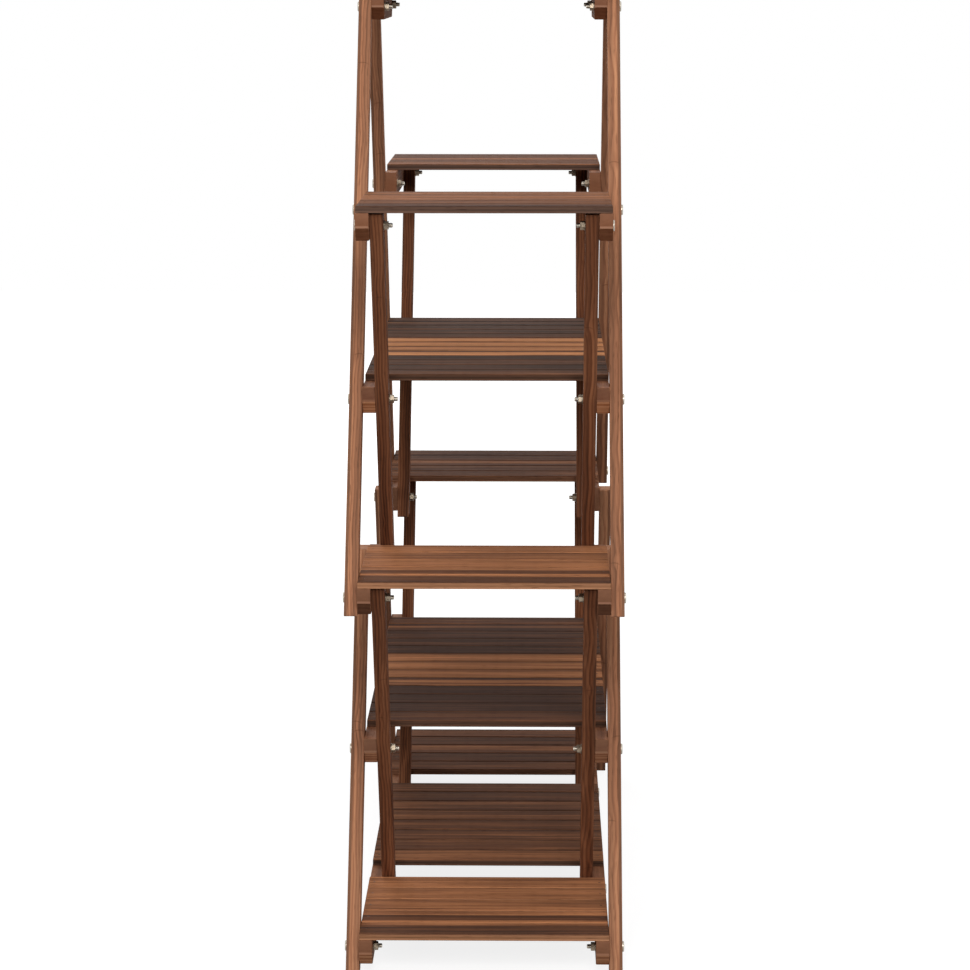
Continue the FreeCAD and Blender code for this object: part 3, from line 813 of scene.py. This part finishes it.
def set_at(master, places):
    """Copies of one finished piece, each with its own mesh: on the left side they face left."""
    copies = []
    for number, (place, side, turn) in enumerate(places):
        copy = bpy.data.objects.new(f"{master.name}_{number}", master.data.copy())
        facing = Matrix.Rotation(0 if side > 0 else math.pi, 4, "Z")
        copy.data.transform(Matrix.Translation(place) @ facing @ Matrix.Rotation(turn, 4, "Y"))
        bpy.context.scene.collection.objects.link(copy)
        copies.append(copy)
    bpy.data.objects.remove(master)
    return copies


def finish_fasteners(name, node, copies, material):
    group = join_all(name, copies)
    dress(group, material)
    choose(group)
    bpy.ops.object.shade_smooth_by_angle(angle=SMOOTH_BELOW)
    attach(group, "root")
    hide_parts(node)


BOLT_METAL = metal("zinc_plated_bolt_steel", tint(168, 160, 148), tint(104, 92, 80), 0.34, 0.55)
NUT_METAL = metal("bright_nut_steel", tint(150, 136, 118), tint(80, 66, 54), 0.5, 0.8)
NAIL_METAL = metal("dull_nail_steel", tint(88, 68, 54), tint(60, 44, 35), 0.62, 0.7)

for node in ("long_bolts", "short_bolts_outer_legs", "short_bolts_inner_legs"):
    solids = solids_of(node)
    low, high = solids[0]
    length = high.y - low.y - HEAD_THICKNESS
    places = []
    for low, high in solids:
        side = 1 if low.y > 0 else -1
        seat = high.y - HEAD_THICKNESS if side > 0 else low.y + HEAD_THICKNESS
        place = Vector(((low.x + high.x) / 2, seat, (low.z + high.z) / 2))
        places.append((place, side, chance.uniform(0, math.pi)))
    copies = set_at(bolt(length, HEAD_THICKNESS), places)
    finish_fasteners(f"{node}_threaded", node, copies, BOLT_METAL)

for node in ("nuts", "washers"):
    solids = solids_of(node)
    low, high = solids[0]
    thickness = high.y - low.y
    master = nut(thickness) if node == "nuts" else washer((high.x - low.x) / 2, thickness)
    places = []
    for low, high in solids:
        places.append(((low + high) / 2, 1 if low.y > 0 else -1, chance.uniform(0, math.pi / 3)))
    finish_fasteners(f"{node}_finished", node, set_at(master, places), NUT_METAL)

dress(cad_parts["slat_nails"], NAIL_METAL)


# stage, lights and camera
def pale_floor():
    """A plain pale floor, white to the camera, which keeps the stand's soft shadow."""
    choose_nothing()
    bpy.ops.mesh.primitive_plane_add(size=FLOOR_SIZE, location=(0, 0, 0))
    floor = added("floor")
    finish = Finish(bpy.data.materials.new("pale_floor"))
    seen = finish.node("ShaderNodeLightPath", output="Is Camera Ray")
    seen = seen.math("MAXIMUM", finish.node("ShaderNodeLightPath", output="Is Glossy Ray"))
    place = finish.turned()
    cloud = finish.noise(place, 1.0, 2.0, 0.5, 3.0)
    darker, lighter = [(grey, grey, grey, 1) for grey in FLOOR_GREYS]
    cover = finish.node("ShaderNodeBsdfDiffuse", {}, {"Color": finish.mix(cloud, darker, lighter)})
    away = finish.node("ShaderNodeVectorMath", {"operation": "LENGTH"}, {0: place}, "Value")
    strength = seen * (FLOOR_GLOW + away.step(0.8, 3.5) * FLOOR_GLOW_AWAY)
    glow = finish.node("ShaderNodeEmission", {}, {"Color": WHITE, "Strength": strength})
    both = finish.node("ShaderNodeAddShader", {}, {0: cover, 1: glow})
    finish.node("ShaderNodeOutputMaterial", {}, {"Surface": both})
    dress(floor, finish.owner)


def soft_lamp(name, place, size, watts):
    lamp_data = bpy.data.lights.new(name, "AREA")
    lamp_data.shape = "SQUARE"
    lamp_data.size = size
    lamp_data.energy = watts
    lamp = bpy.data.objects.new(name, lamp_data)
    lamp.location = place
    toward = Vector(LAMPS_LOOK_AT) - lamp.location
    lamp.rotation_euler = toward.to_track_quat("-Z", "Y").to_euler()
    bpy.context.scene.collection.objects.link(lamp)


def white_world():
    """White to the camera and in reflections, with a plain low light on the stand itself."""
    world = bpy.data.worlds.new("white_room")
    bpy.context.scene.world = world
    room = Finish(world)
    white_for = room.node("ShaderNodeLightPath", output="Is Camera Ray")
    for ray in ("Is Glossy Ray", "Is Transmission Ray"):
        white_for = white_for.math("MAXIMUM", room.node("ShaderNodeLightPath", output=ray))
    strength = room.node("ShaderNodeMapRange", {},
                         {"Value": white_for, "To Min": ROOM_LIGHT, "To Max": 1.0}, "Result")
    background = room.node("ShaderNodeBackground", {}, {"Color": WHITE, "Strength": strength})
    room.node("ShaderNodeOutputWorld", {}, {"Surface": background})


def photograph_camera():
    camera_data = bpy.data.cameras.new("photograph_view")
    camera_data.sensor_width = SENSOR_WIDTH
    camera_data.lens = CAMERA_FOCUS_PIXELS * SENSOR_WIDTH / PICTURE_WIDTH
    camera = bpy.data.objects.new("photograph_view", camera_data)
    camera.location = CAMERA_PLACE
    ahead = Vector((-math.cos(CAMERA_PITCH) * math.cos(CAMERA_YAW),
                    -math.cos(CAMERA_PITCH) * math.sin(CAMERA_YAW), -math.sin(CAMERA_PITCH)))
    camera.rotation_euler = ahead.to_track_quat("-Z", "Y").to_euler()
    bpy.context.scene.collection.objects.link(camera)
    bpy.context.scene.camera = camera


pale_floor()
for name, (place, size, watts) in LAMPS.items():
    soft_lamp(name, place, size, watts)
white_world()
photograph_camera()
bpy.context.scene.view_settings.view_transform = "Standard"
